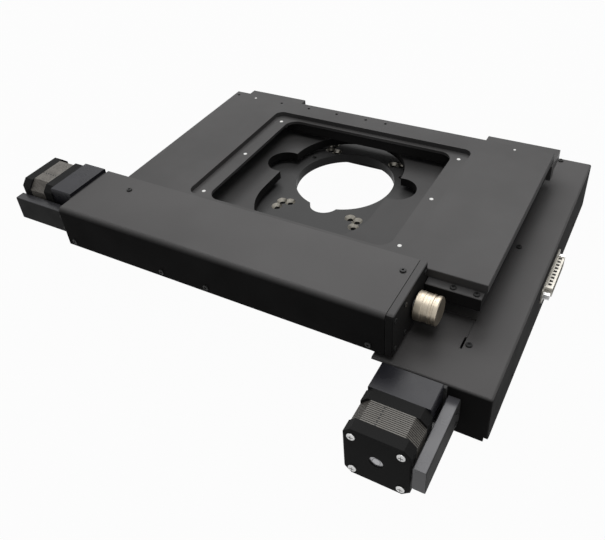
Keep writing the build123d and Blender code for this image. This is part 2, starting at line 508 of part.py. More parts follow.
front_screws = [(x, HOUSE_F, CARRIAGE_Z + 4.6)
                for x in (HOUSE_L + 7.1, HOUSE_L + 93.5, HOUSE_L + 133.3, HOUSE_R - 10.9)]
save("x_cover_screws", group([head(SCREW_HEAD_R, SCREW_HEAD_T, p) for p in top_screws]
                             + [head(SCREW_HEAD_R, SCREW_HEAD_T, p, "-y") for p in front_screws]))
end_x = (HOUSE_R, HOUSE_R + END_PLATE_T)
end_plate = block(end_x, (HOUSE_F, HOUSE_B), (CARRIAGE_Z, HOUSE_TOP))
end_plate = fillet(end_plate.edges().filter_by(Axis.X).group_by(Axis.Z)[-1].sort_by(Axis.Y)[0], HOUSE_BEND)
end_plate -= rod(SCREW_R + FREE_CLEAR, END_PLATE_T + 2, (end_x[0] - 1, X_AXIS_Y, X_AXIS_Z), "x")
end_plate = chamfer(end_plate.edges().group_by(Axis.X)[-1], 0.5)
save("x_end_plate", chamfer(end_plate.faces().sort_by(Axis.X)[0].outer_wire().edges(), 0.6))
end_screws = [(y, z) for y in (HOUSE_F + 3.6, HOUSE_F + 19.1, HOUSE_B - 4.5)
              for z in (CARRIAGE_Z + 5.5, HOUSE_TOP - 5.0)]
save("x_end_plate_screws", group([head(SMALL_HEAD_R + 0.3, SMALL_HEAD_T, (end_x[1], y, z), "x")
                                  for y, z in end_screws]))

# Hand knob on the X screw's free end
knob = rod(KNOB_R, KNOB_LEN, (KNOB_X, X_AXIS_Y, X_AXIS_Z), "x")
knob = chamfer(knob.edges().group_by(Axis.X)[-1], 0.8)
for i in range(KNOB_GROOVES):
    x = KNOB_X + KNOB_LEN * (0.2 + 0.2 * i)
    ring = rod(KNOB_R + 1, 0.7, (x, X_AXIS_Y, X_AXIS_Z), "x")
    knob -= ring - rod(KNOB_R - 0.5, 0.7, (x, X_AXIS_Y, X_AXIS_Z), "x")
save("x_knob", knob)

# Top plate with its recess, inner opening, threaded edge holes and ledge pads
top = block((TOP_L, TOP_L + TOP_W), (TOP_F, TOP_B), (TOP_Z, TOP_TOP))
top = chamfer(top.edges().group_by(Axis.Z)[-1], 0.4)
recess_x = (RECESS_X - RECESS_W / 2, RECESS_X + RECESS_W / 2)
recess_y = (RECESS_Y - RECESS_D / 2, RECESS_Y + RECESS_D / 2)
ledge_z = TOP_TOP - RECESS_DEEP
top -= rounded_plate(recess_x, recess_y, (ledge_z, TOP_TOP + 1), RECESS_R)
opening_x = (recess_x[0] + LEDGE_SIDE, recess_x[1] - LEDGE_SIDE)
opening_y = (recess_y[0] + LEDGE_END, recess_y[1] - LEDGE_END)
top -= rounded_plate(opening_x, opening_y, (TOP_Z - 1, TOP_TOP + 1), OPENING_R)
edge_hole_y = TOP_B - EDGE_HOLE_IN
for x in EDGE_HOLES_X:
    top -= rod(EDGE_HOLE_R, TOP_T + 2, (x, edge_hole_y, TOP_Z - 1))
guard_y = (opening_y[1] + 0.3, X_BACK_FIXED_Y - PAIR - RAIL_W / 2 - RAIL_CLEAR)
top += block((opening_x[0] - 4, opening_x[1] + 4), guard_y, (TOP_Z - GUARD_DEEP, TOP_Z))
pads = [rod(PAD_R, PAD_T, (x, RECESS_Y + i * PAD_PITCH, ledge_z - PAD_T))
        for x in (recess_x[0] + PAD_SIDE, recess_x[1] - PAD_SIDE) for i in (-1, 0, 1)]
pads += [rod(1.0, PAD_T, (x, edge_hole_y, TOP_TOP - PAD_T)) for x in (TOP_L + 24.4, TOP_L + TOP_W - 30.1)]
for pad in pads:
    top -= pad
save("top_plate", top)
save("ledge_pads", group(pads))

# Nut and bracket of the X drive, hung from the top plate's front edge
nut_half = NUT_LEN / 2 - 1
arm_y = (X_AXIS_Y + NUT_FLANGE_R + 0.4, X_FRONT_FIXED_Y + PAIR - RAIL_W / 2 - 0.3)
arm = block((X_NUT_X - 24, X_NUT_X + 24), arm_y, (TOP_Z - ARM_T, TOP_Z))
hanger = block((X_NUT_X - nut_half, X_NUT_X + nut_half), (X_AXIS_Y - 12, X_AXIS_Y + 14),
               (X_AXIS_Z - 7, X_AXIS_Z + 12))
x_bracket = arm + hanger - rod(NUT_R + 0.05, 60, (X_NUT_X - 30, X_AXIS_Y, X_AXIS_Z), "x")
save("x_nut_bracket", x_bracket)
save("x_nut", Pos(X_NUT_X, X_AXIS_Y, X_AXIS_Z) * TURN_X * Pos(0, 1, 0) * nut())

# Nut and bracket of the Y drive, hung from the carriage plate's right edge
reach_x = (CARRIAGE_R + 1.4, CARRIAGE_R + 7.0)
y_span = (Y_NUT_Y - nut_half, Y_NUT_Y + nut_half)
y_bracket = block((CARRIAGE_R - 14, reach_x[1]), (Y_NUT_Y - 20, Y_NUT_Y + 20), (CARRIAGE_TOP, CARRIAGE_TOP + 4))
y_bracket += block(reach_x, y_span, (Y_AXIS_Z - 12, CARRIAGE_TOP + 4))
y_bracket += block((reach_x[1] - 1, Y_AXIS_X + 12), y_span, (Y_AXIS_Z - 12, Y_AXIS_Z + 12))
y_bracket -= rod(NUT_R + 0.05, 60, (Y_AXIS_X, Y_NUT_Y - 30, Y_AXIS_Z), "y")
save("y_nut_bracket", y_bracket)
save("y_nut", Pos(Y_AXIS_X, Y_NUT_Y + 1, Y_AXIS_Z) * nut())

print(len(saved), "pieces")
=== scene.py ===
# %% [markdown]
# # A motorized xy stage, dressed for its portrait
#
# The frame is the engineering model: every plate, rail, screw and cover at its real size. This lesson
# leaves those solids where they are and gives them their finishes. Only the motors' laminations and the
# turned knob, whose look depends on fine repeated detail, are made here again as meshes.

# %% Load the frame
import json
import math

import bmesh
import bpy
from mathutils import Matrix, Vector


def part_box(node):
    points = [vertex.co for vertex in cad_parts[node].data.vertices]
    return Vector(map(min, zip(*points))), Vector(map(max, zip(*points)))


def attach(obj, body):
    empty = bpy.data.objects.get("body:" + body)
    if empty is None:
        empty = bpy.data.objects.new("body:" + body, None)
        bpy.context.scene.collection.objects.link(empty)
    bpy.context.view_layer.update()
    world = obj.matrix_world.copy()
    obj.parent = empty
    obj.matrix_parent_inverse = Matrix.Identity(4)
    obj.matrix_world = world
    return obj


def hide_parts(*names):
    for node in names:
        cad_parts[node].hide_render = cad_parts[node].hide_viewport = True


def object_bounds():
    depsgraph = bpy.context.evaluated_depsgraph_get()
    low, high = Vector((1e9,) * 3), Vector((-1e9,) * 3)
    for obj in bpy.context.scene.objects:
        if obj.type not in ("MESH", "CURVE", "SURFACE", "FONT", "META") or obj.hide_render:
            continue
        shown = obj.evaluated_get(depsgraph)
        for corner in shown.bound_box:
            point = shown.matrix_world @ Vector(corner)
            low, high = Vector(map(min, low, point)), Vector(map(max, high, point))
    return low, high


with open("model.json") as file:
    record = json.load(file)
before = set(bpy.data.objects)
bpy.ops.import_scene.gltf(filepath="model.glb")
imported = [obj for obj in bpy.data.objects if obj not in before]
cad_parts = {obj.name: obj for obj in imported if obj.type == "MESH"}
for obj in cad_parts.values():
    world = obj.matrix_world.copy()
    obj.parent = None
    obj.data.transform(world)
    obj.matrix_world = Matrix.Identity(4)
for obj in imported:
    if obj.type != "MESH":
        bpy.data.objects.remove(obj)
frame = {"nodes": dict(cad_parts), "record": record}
cad_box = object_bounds()
nodes = frame["nodes"]
MM = 0.001


def box_mm(node):
    """The two corners of a solid's box, in millimetres."""
    low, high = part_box(node)
    return low / MM, high / MM


print("pieces in the frame:", len(nodes))

# %% [markdown]
# ## Shader sums that read like sums
#
# A procedural finish is mostly arithmetic on coordinates: scale, wrap, compare, blend. Written node by
# node it is hard to read, so one small class wraps a socket and lets Python's operators add the Math
# nodes. Colours are blended with a Mix node, because a Math node would turn them grey.


# %% A material that is written as expressions
class Term:
    """One socket of a shader tree, with the operators that the finishes use."""

    def __init__(self, recipe, socket):
        self.recipe, self.socket = recipe, socket

    def math(self, operation, other=None, third=None):
        values = [self] + [v for v in (other, third) if v is not None]
        return self.recipe.node("ShaderNodeMath", {"operation": operation}, values)

    def __add__(self, other):
        return self.math("ADD", other)

    def __radd__(self, other):
        return self.math("ADD", other)

    def __sub__(self, other):
        return self.math("SUBTRACT", other)

    def __rsub__(self, other):
        return self.recipe.node("ShaderNodeMath", {"operation": "SUBTRACT"}, [other, self])

    def __mul__(self, other):
        return self.math("MULTIPLY", other)

    def __rmul__(self, other):
        return self.math("MULTIPLY", other)

    def __gt__(self, other):
        return self.math("GREATER_THAN", other)

    def __lt__(self, other):
        return self.math("LESS_THAN", other)


class Finish:
    """A material under construction: its tree, its shader and its object coordinates."""

    def __init__(self, name, roughness=0.5, metallic=0.0, **sockets):
        self.material = bpy.data.materials.new(name)
        self.material.use_nodes = True
        self.tree = self.material.node_tree
        self.shader = self.tree.nodes["Principled BSDF"]
        self.shader.inputs["Roughness"].default_value = roughness
        self.shader.inputs["Metallic"].default_value = metallic
        for label, value in sockets.items():
            self.shader.inputs[label.replace("_", " ")].default_value = value
        self.place = self.node("ShaderNodeTexCoord", out="Object")

    def node(self, kind, settings=None, inputs=(), out=0):
        """Any node: its settings first, then the values or links of its sockets."""
        made = self.tree.nodes.new(kind)
        for label, value in (settings or {}).items():
            setattr(made, label, value)
        pairs = inputs.items() if isinstance(inputs, dict) else enumerate(inputs)
        for key, value in pairs:
            if isinstance(value, Term):
                self.tree.links.new(value.socket, made.inputs[key])
            else:
                made.inputs[key].default_value = value
        return Term(self, made.outputs[out])

    def axes(self):
        """Object coordinates as three numbers, in millimetres."""
        split = self.tree.nodes.new("ShaderNodeSeparateXYZ")
        self.tree.links.new(self.place.socket, split.inputs[0])
        return [Term(self, s) * 1000.0 for s in split.outputs]

    def noise(self, per_metre, detail=2.0, rough=0.5, stretch=None):
        """Noise of a given fineness, 0 to 1, stretched along an axis if asked."""
        where = self.place
        if stretch:
            where = self.node("ShaderNodeMapping", inputs={"Vector": self.place, "Scale": stretch})
        return self.node("ShaderNodeTexNoise",
                         inputs={"Vector": where, "Scale": per_metre, "Detail": detail, "Roughness": rough})

    def spread(self, value, low, high, to_low, to_high):
        """Map low..high to to_low..to_high, held at the ends."""
        return self.node("ShaderNodeMapRange", inputs=[value, low, high, to_low, to_high])

    def colour(self, mask, dark, light):
        """Blend two colours by a mask."""
        return self.node("ShaderNodeMix", {"data_type": "RGBA"},
                         {0: mask, 6: (*dark, 1.0), 7: (*light, 1.0)}, out=2)

    def over(self, mask, below, above):
        """Blend a colour already made with another one by a mask."""
        return self.node("ShaderNodeMix", {"data_type": "RGBA"}, {0: mask, 6: below, 7: (*above, 1.0)}, out=2)

    def feed(self, **links):
        for label, value in links.items():
            self.tree.links.new(value.socket, self.shader.inputs[label.replace("_", " ")])
        return self

    def bump(self, height, strength, distance_mm):
        settings = {"Height": height, "Strength": strength, "Distance": distance_mm * MM}
        return self.feed(Normal=self.node("ShaderNodeBump", inputs=settings))


print("shader tools ready")

# %% [markdown]
# ## Black anodised aluminium
#
# The plates are milled aluminium, bead-blasted and dyed black. A fine bump stands for the blasted grain,
# and slow mottling with a few handling marks keeps the big plates from looking computed.
#
# In the portrait the flat tops look dark grey and the upright faces nearly black, further apart than one
# dye gives under plain light. So the tops carry a paler dye, partly a painted sheen, and below a height that
# each plate is given its walls are much darker and rougher, a painted shade. The heights are measured down
# from the frame's own boxes.


# %% Blasted and dyed plates
# painted shade: the walls keep only this share of the dye's tone
WALL_SHADE_TONE = 0.15            # share of the dye's tone that is left on walls
WALL_DULL = 0.35            # what the walls' roughness gains
GRAIN = 2600.0              # grains of blasting per metre


def blasted(name, base, sheen, roughness, shade_below=None):
    """Blasted plate; below a given height in mm its walls carry a painted shade, much darker, and are duller.
    """
    made = Finish(name, roughness=roughness, metallic=0.0)
    made.shader.inputs["Specular IOR Level"].default_value = sheen
    fine = made.noise(GRAIN, 3.0, 0.6)
    cloud = made.noise(9.0, 4.0, 0.55)
    smear = made.noise(26.0, 3.0, 0.5, (1.0, 0.35, 1.0))
    darker = tuple(v * 0.84 for v in base)
    lighter = tuple(v * 1.18 for v in base)
    dye = made.colour(made.spread(cloud, 0.3, 0.7, 0.0, 1.0), darker, lighter)
    rough = made.spread(smear, 0.35, 0.7, roughness - 0.04, roughness + 0.05) + (fine - 0.5) * 0.06
    if shade_below is not None:
        # painted shade: below the height, the walls take a much darker tone
        wall = made.axes()[2] < shade_below
        dye = made.over(wall, dye, tuple(v * WALL_SHADE_TONE for v in base))
        rough = rough + wall * WALL_DULL
    made.feed(Base_Color=dye, Roughness=rough)
    made.bump(fine, 0.16, 0.05)
    return made.material


# these dyes are paler than black anodising, partly a painted sheen for the flat tops
PLATE_DYE_AND_SHEEN = (0.076, 0.0743, 0.0743)
BEAM_DYE_AND_SHEEN = (0.07, 0.0685, 0.0685)
SLOT_DYE_AND_SHEEN = (0.064, 0.063, 0.063)
INNER_DYE = (0.022, 0.022, 0.022)
PLATE_SHEEN = 0.07
PLATE_ROUGH = 0.37
# below these heights the rib and the walls carry painted shade
rib_from = box_mm("x_rails_moving")[1].z - 0.1      # the moving rails end at the top plate's underside
end_from = box_mm("x_end_plate")[1].z - 0.7
beam_from = box_mm("side_beam")[1].z - 0.4
slot_from = box_mm("carriage_plate")[1].z - 0.1
plate_black = blasted("blasted black aluminium", PLATE_DYE_AND_SHEEN, PLATE_SHEEN, PLATE_ROUGH)
inner_black = blasted("blasted black aluminium, inner faces", INNER_DYE, 0.08, 0.45)
top_black = blasted("blasted top plate, painted shade on rib below", PLATE_DYE_AND_SHEEN, PLATE_SHEEN, PLATE_ROUGH, rib_from)
end_black = blasted("blasted end plate, painted shade on faces", PLATE_DYE_AND_SHEEN, PLATE_SHEEN, PLATE_ROUGH, end_from)
beam_black = blasted("blasted side beam, painted shade on walls", BEAM_DYE_AND_SHEEN, PLATE_SHEEN, PLATE_ROUGH, beam_from)
slot_black = blasted("blasted carriage plate, painted shade on slot walls", SLOT_DYE_AND_SHEEN, PLATE_SHEEN, 0.38, slot_from)
print("plates:", plate_black.name)

# %% [markdown]
# The base plate's screw holes are countersunk after dyeing, so their cones are bright. The twelve holes
# lie on three rectangles about one centre, so taking absolute distances from that centre folds the four
# corners onto one, and three circles are enough to find every cone.


# %% Bright countersinks in the base plate
CONE_GRIDS = ((70.5, 105.0), (69.6, 89.0), (56.0, 86.0))    # width and depth of each rectangle, in mm
CONE_MIDDLE_Y = -3.5
CONE_RADIUS = 4.6
CONE_DEEP = 2.6
CONE_LIP = 0.04             # the plate's top face itself stays dyed
CONE_METAL = (0.3, 0.285, 0.25)


def bright_cones(name, base, sheen, roughness, grids, middle_y, radius, top):
    made = Finish(name, roughness=roughness)
    made.shader.inputs["Specular IOR Level"].default_value = sheen
    x, y, z = made.axes()
    across = x.math("ABSOLUTE")
    along = (y - middle_y).math("ABSOLUTE")
    cones = None
    for width, depth in grids:
        squared = (across - width / 2).math("POWER", 2.0) + (along - depth / 2).math("POWER", 2.0)
        ring = squared < radius * radius
        cones = ring if cones is None else cones.math("MAXIMUM", ring)
    bare = cones * (z < top - CONE_LIP) * (z > top - CONE_DEEP)
    grain = made.noise(GRAIN, 3.0, 0.6)
    cloud = made.noise(9.0, 4.0, 0.55)
    dye = made.colour(cloud, tuple(v * 0.8 for v in base), tuple(v * 1.25 for v in base))
    made.feed(Base_Color=made.over(bare, dye, CONE_METAL), Metallic=bare * 0.7)
    made.feed(Roughness=made.spread(bare, 0.0, 1.0, roughness, 0.3) + (grain - 0.5) * 0.06)
    made.bump(grain, 0.16, 0.05)
    return made.material


# the base plate's dye is paler than black anodising, partly a painted sheen
drilled_black = bright_cones("base plate with bright countersinks", (0.06, 0.06, 0.06), 0.06, 0.38,
                             CONE_GRIDS, CONE_MIDDLE_Y, CONE_RADIUS, box_mm("base_plate")[1].z)
print("base plate:", drilled_black.name)

# %% [markdown]
# ## Painted sheet-metal covers
#
# The two long covers are folded sheet, powder-coated. Powder melts into a skin with a faint orange peel,
# coarser and softer than the blasted grain, and it is a little smoother than the plates. The bump here is
# about a millimetre wide and very shallow. As on the plates, the black is paler than the real coat, partly a
# painted sheen, and the walls below a cover's bend are much darker and rougher than its top, a painted shade
# that follows the portrait.


# %% Powder-coated covers
SHEET_SHEEN = 0.06
SHEET_WALL_SHADE_TONE = 0.12
SHEET_WALL_DULL = 0.5


def powder_coat(name, base, roughness, bend=None):
    """Powder coat; below a cover's bend, given as (low, high) in mm, its walls carry a painted shade and are
    duller.
    """
    made = Finish(name, roughness=roughness, metallic=0.0)
    made.shader.inputs["Specular IOR Level"].default_value = SHEET_SHEEN
    peel = made.noise(1100.0, 2.0, 0.45)
    cloud = made.noise(6.0, 3.0, 0.5)
    paint = made.colour(made.spread(cloud, 0.3, 0.7, 0.0, 1.0),
                        tuple(v * 0.88 for v in base), tuple(v * 1.15 for v in base))
    rough = made.spread(made.noise(40.0, 3.0, 0.5), 0.3, 0.7, roughness - 0.03, roughness + 0.04)
    if bend is not None:
        # painted shade: the walls below the bend fade to a much darker tone
        wall = made.spread(made.axes()[2], bend[0], bend[1], 1.0, 0.0)
        paint = made.over(wall, paint, tuple(v * SHEET_WALL_SHADE_TONE for v in base))
        rough = rough + wall * SHEET_WALL_DULL
    made.feed(Base_Color=paint, Roughness=rough)
    made.bump(peel, 0.12, 0.08)
    return made.material


# paler than the real black coat, partly a painted sheen
SHEET_BLACK_AND_SHEEN = (0.091, 0.0887, 0.0887)
SHEET_ROUGH = 0.33
bay_top = box_mm("y_drive_cover")[1].z
house_top = box_mm("x_drive_cover")[1].z
bay_bend = (bay_top - 2.0, bay_top - 0.5)
house_bend = (house_top - 3.8, house_top - 0.4)
cover_black = powder_coat("powder-coated black sheet", SHEET_BLACK_AND_SHEEN, SHEET_ROUGH)
bay_black = powder_coat("powder-coated black bay cover", SHEET_BLACK_AND_SHEEN, SHEET_ROUGH, bay_bend)
house_black = powder_coat("powder-coated black housing", SHEET_BLACK_AND_SHEEN, SHEET_ROUGH, house_bend)
print("covers:", bay_black.name, "and", house_black.name)

# %% Polished black motor blocks and side bars
# painted shade: a bar's outer side is near-black; its extra roughness is the face's own
OUTER_SHADE_TONE = (0.006, 0.006, 0.006)
OUTER_DULL = 0.6
OUTER_SKIN = 0.25           # how far in from a bar's outer side its dark finish reaches, in mm


def polished_black(name, base, roughness, sheen, axis=0, outer=None):
    """Polished black metal; past a given place along an axis, its outer side is rough and near-black, a
    painted shade.
    """
    made = Finish(name, roughness=roughness, metallic=0.0)
    made.shader.inputs["Specular IOR Level"].default_value = sheen
    fine = made.noise(1800.0, 3.0, 0.6)
    rubbed = made.noise(55.0, 4.0, 0.6)
    rough = made.spread(rubbed, 0.3, 0.7, roughness - 0.04, roughness + 0.07)
    tone = made.colour(made.noise(20.0, 2.0), base, tuple(v * 1.4 for v in base))
    if outer is not None:
        place = made.axes()[axis]
        # painted shade on the outer side, which is also rougher
        side = place > outer if outer > 0 else place < outer
        tone = made.over(side, tone, OUTER_SHADE_TONE)
        rough = rough + side * OUTER_DULL
    made.feed(Base_Color=tone, Roughness=rough)
    made.bump(fine, 0.05, 0.03)
    return made.material


BLOCK_TONE = (0.018, 0.018, 0.022)
# the Y bar's tone is three times the X bar's, raised as a painted sheen on its top
Y_BAR_TONE_AND_SHEEN = (0.09, 0.09, 0.097)
X_BAR_TONE = (0.03, 0.03, 0.033)
y_outer = box_mm("y_side_bar")[1].x - OUTER_SKIN
x_outer = box_mm("x_side_bar")[0].y + OUTER_SKIN
block_black = polished_black("polished black block", BLOCK_TONE, 0.27, 0.2)
y_bar_black = polished_black("polished side bar, Y motor", Y_BAR_TONE_AND_SHEEN, 0.24, 0.35, 0, y_outer)
x_bar_black = polished_black("polished side bar, X motor", X_BAR_TONE, 0.24, 0.3, 1, x_outer)
print("blocks and bars:", block_black.name)

# %% [markdown]
# ## The motors
#
# A stepper is a sandwich: two die-cast caps, painted black, squeeze a stack of half-millimetre silicon
# steel laminations between them. The stack's edges are never painted, so they show as fine grey-brown
# lines. A bump map could fake them, but the stack catches light on every edge when seen close, so the
# laminations are real plates, repeated by Geometry Nodes. They are drawn fewer and thicker than real ones,
# with gaps between, so that the lines show at this scale. The caps need only a casting grain.


# %% Cast caps and lamination steel
CAP_SHEEN = 0.02
STACK_DARK = (0.105, 0.097, 0.086)
STACK_LIGHT = (0.19, 0.178, 0.16)
DIMPLE_ASIDE = 4.6          # from the motor's axis to its row of dimples, in mm
DIMPLE_HALF = 0.5
DIMPLE_STEP = 2.664         # twice the spacing of the plates
DIMPLE_LONG = 0.9
# painted shade for the dimples on the stacks and the dents in the connector shell
DIMPLE_SHADE = (0.008, 0.008, 0.008)


def cast_cap(name):
    made = Finish(name, roughness=0.5)
    made.shader.inputs["Specular IOR Level"].default_value = CAP_SHEEN
    grain = made.noise(1700.0, 4.0, 0.65)
    made.feed(Base_Color=made.colour(grain, (0.012, 0.012, 0.012), (0.03, 0.03, 0.03)))
    made.feed(Roughness=made.spread(grain, 0.3, 0.7, 0.42, 0.58))
    made.bump(grain, 0.3, 0.08)
    return made.material


def lamination_steel(name, dot_axis, dot_at, stack_start, tone_scale):
    """Weathered edges of silicon steel, with the shade of a dimple painted near-black on every other plate.
    """
    made = Finish(name, roughness=0.45, metallic=0.2)
    stain = made.noise(140.0, 5.0, 0.6)
    speck = made.noise(900.0, 4.0, 0.7)
    dark, light = (tuple(v * tone_scale for v in c) for c in (STACK_DARK, STACK_LIGHT))
    tone = made.colour(made.spread(stain, 0.3, 0.7, 0.0, 1.0), dark, light)
    tone = made.over(made.spread(speck, 0.52, 0.72, 0.0, 0.8), tone, tuple(v * 0.5 for v in dark))
    place = made.axes()
    beside = (place[dot_axis] - dot_at).math("ABSOLUTE") < DIMPLE_HALF
    every_other = (place[1 - dot_axis] - stack_start).math("MODULO", DIMPLE_STEP) < DIMPLE_LONG
    dimple = beside * every_other
    # painted shade of a dimple, near-black
    made.feed(Base_Color=made.over(dimple, tone, DIMPLE_SHADE))
    made.feed(Roughness=made.spread(stain, 0.3, 0.7, 0.38, 0.6))
    made.bump(speck, 0.2, 0.05)
    return made.material


cap_black = cast_cap("cast black motor cap")
y_low, y_high = box_mm("y_motor_laminations")
x_low, x_high = box_mm("x_motor_laminations")
y_row = (y_low.x + y_high.x) / 2 - DIMPLE_ASIDE
x_row = (x_low.y + x_high.y) / 2 - DIMPLE_ASIDE
stack_steels = {"y": lamination_steel("lamination steel, Y motor", 0, y_row, y_low.y, 0.75),
                "x": lamination_steel("lamination steel, X motor", 1, x_row, x_low.x, 1.2)}
print("motors:", cap_black.name)

# %% [markdown]
# ## Bright metals
#
# The knob is nickel-toned and lathe-turned, the bright screw heads are plated steel and the connector's
# shell is tinned. Inside, rails and screws are ground steel, couplings aluminium and nuts bronze.
# Turning and grinding leave lines along one direction, so their noise is stretched before it reaches
# roughness and bump.


# %% Turned, plated, tinned and ground metal
def bare_metal(name, low, high, roughness, stretch, per_metre, strength=0.12):
    made = Finish(name, roughness=roughness, metallic=1.0)
    lines = made.noise(per_metre, 3.0, 0.6, stretch)
    cloud = made.noise(60.0, 3.0, 0.5)
    made.feed(Base_Color=made.colour(made.spread(cloud, 0.3, 0.7, 0.0, 1.0), low, high))
    made.feed(Roughness=made.spread(lines, 0.3, 0.7, roughness - 0.07, roughness + 0.09))
    made.bump(lines, strength, 0.04)
    return made.material


DENT_PITCH = 3.9
DENT_HALF = 1.05
DENT_REACH = 17.0           # the row ends this far from the shell's middle
DENT_RISE = 4.0             # only the walls above and below the opening have dents
DENT_BAND = 1.2
DENT_OUT = 3.2              # from the flange's back to the row's middle
FAR = 1000.0                # keeps the distance along the row positive before it wraps


# The connector's shell is pressed steel. The small square dents along its upper and lower walls are painted
# shade, near-black on the tin.
def dimpled_shell(name, middle_y, middle_z, band_x):
    made = Finish(name, roughness=0.28, metallic=1.0)
    x, y, z = made.axes()
    along = (y - (middle_y - FAR)).math("MODULO", DENT_PITCH) - DENT_PITCH / 2
    wide = along.math("ABSOLUTE") < DENT_HALF
    inside = (y - middle_y).math("ABSOLUTE") < DENT_REACH
    wall = (z - middle_z).math("ABSOLUTE") > DENT_RISE
    band = (x - band_x).math("ABSOLUTE") < DENT_BAND
    dimple = wide * inside * wall * band
    cloud = made.noise(700.0, 3.0, 0.5)
    tin = made.colour(cloud, (0.28, 0.27, 0.24), (0.42, 0.4, 0.36))
    # painted shade of the dents, near-black
    made.feed(Base_Color=made.over(dimple, tin, DIMPLE_SHADE))
    made.feed(Roughness=made.spread(cloud, 0.3, 0.7, 0.26, 0.42))
    made.bump(cloud, 0.08, 0.03)
    return made.material


knob_metal = bare_metal("turned nickel-toned knob", (0.38, 0.33, 0.26), (0.50, 0.445, 0.36), 0.4,
                        (22.0, 1.0, 1.0), 90.0, 0.3)
plated = bare_metal("plated screw steel", (0.50, 0.50, 0.50), (0.66, 0.66, 0.65), 0.26,
                    (1.0, 1.0, 1.0), 900.0, 0.04)
ground = bare_metal("ground steel", (0.33, 0.33, 0.34), (0.42, 0.42, 0.43), 0.34,
                    (1.0, 0.1, 1.0), 500.0, 0.02)
raw_aluminium = bare_metal("raw aluminium", (0.62, 0.62, 0.63), (0.74, 0.74, 0.75), 0.35,
                           (1.0, 6.0, 1.0), 200.0)
shell_low, shell_high = box_mm("connector_shell")
shell_middle = (shell_low + shell_high) / 2
shell_metal = dimpled_shell("dimpled connector shell", shell_middle.y, shell_middle.z, shell_low.x + DENT_OUT)
bronze = bare_metal("bearing bronze", (0.45, 0.30, 0.14), (0.58, 0.42, 0.22), 0.34, (1.0, 4.0, 1.0), 250.0)
print("bright metals ready")

# %% Blackened screws, moulded plastic and rubber
def moulded(name, low, high, roughness, per_metre, strength, sheen=0.5):
    made = Finish(name, roughness=roughness, Specular_IOR_Level=sheen)
    grain = made.noise(per_metre, 3.0, 0.55)
    made.feed(Base_Color=made.colour(grain, low, high))
    made.feed(Roughness=made.spread(grain, 0.3, 0.7, roughness - 0.06, roughness + 0.06))
    made.bump(grain, strength, 0.05)
    return made.material


screw_black = moulded("blackened screw", (0.012, 0.012, 0.012), (0.03, 0.03, 0.03), 0.34, 1500.0, 0.1, 0.15)
insert_black = moulded("moulded connector body", (0.012, 0.012, 0.013), (0.024, 0.024, 0.025), 0.45,
                       1300.0, 0.12)
rubber = moulded("black rubber gasket", (0.012, 0.012, 0.012), (0.022, 0.022, 0.022), 0.7, 900.0, 0.3)
pad_white = moulded("white plastic pad", (0.70, 0.70, 0.68), (0.82, 0.82, 0.80), 0.5, 1200.0, 0.1)
finishes = {
    "black_anodised": plate_black, "black_sheet": cover_black, "motor_cap": cap_black,
    "motor_steel": stack_steels["y"], "gloss_black": block_black, "ground_steel": ground,
    "screw_steel": plated, "black_screw": screw_black, "bare_aluminium": raw_aluminium,
    "bronze": bronze, "rubber_black": rubber,
    "tinned_steel": shell_metal, "connector_plastic": insert_black, "knob_nickel": knob_metal,
    "white_plastic": pad_white,
}
print("finishes:", len(finishes))

# %% [markdown]
# ## Putting the finishes on
#
# The record says which slot each solid takes its finish from, so one loop dresses them all, and a few
# solids take a finish of their own. The solids come as loose triangles with their own normals, and only
# their material slots are touched.


# %% Dress every solid
slot_of = {s["node"]: s["material_slot"] for s in frame["record"]["subparts"]}
special = {"base_plate": drilled_black, "base_bars": inner_black, "y_drive_tray": inner_black,
           "top_plate": top_black, "carriage_plate": slot_black, "x_end_plate": end_black,
           "side_beam": beam_black, "y_drive_cover": bay_black, "x_drive_cover": house_black,
           "y_side_bar": y_bar_black, "x_side_bar": x_bar_black}
for name, solid in nodes.items():
    finish = special.get(name, finishes[slot_of[name]])
    if not solid.material_slots:
        solid.data.materials.append(finish)
    for place in solid.material_slots:
        place.material = finish
print("dressed:", len(nodes), "solids in", len(finishes), "finishes")

# %% [markdown]
# ## Laminations by Geometry Nodes
#
# One octagonal plate is repeated along the motor's axis with about half a millimetre of air between
# plates, wider than on a real stack. The tree's named inputs are the side, the corner cut, the pitch, the
# plate's thickness and the count, so both motors use the same tree. A mesh circle of four points would
# give a square; the cut corners need eight, so the outline is a square curve with its corners chamfered
# by Fillet Curve.


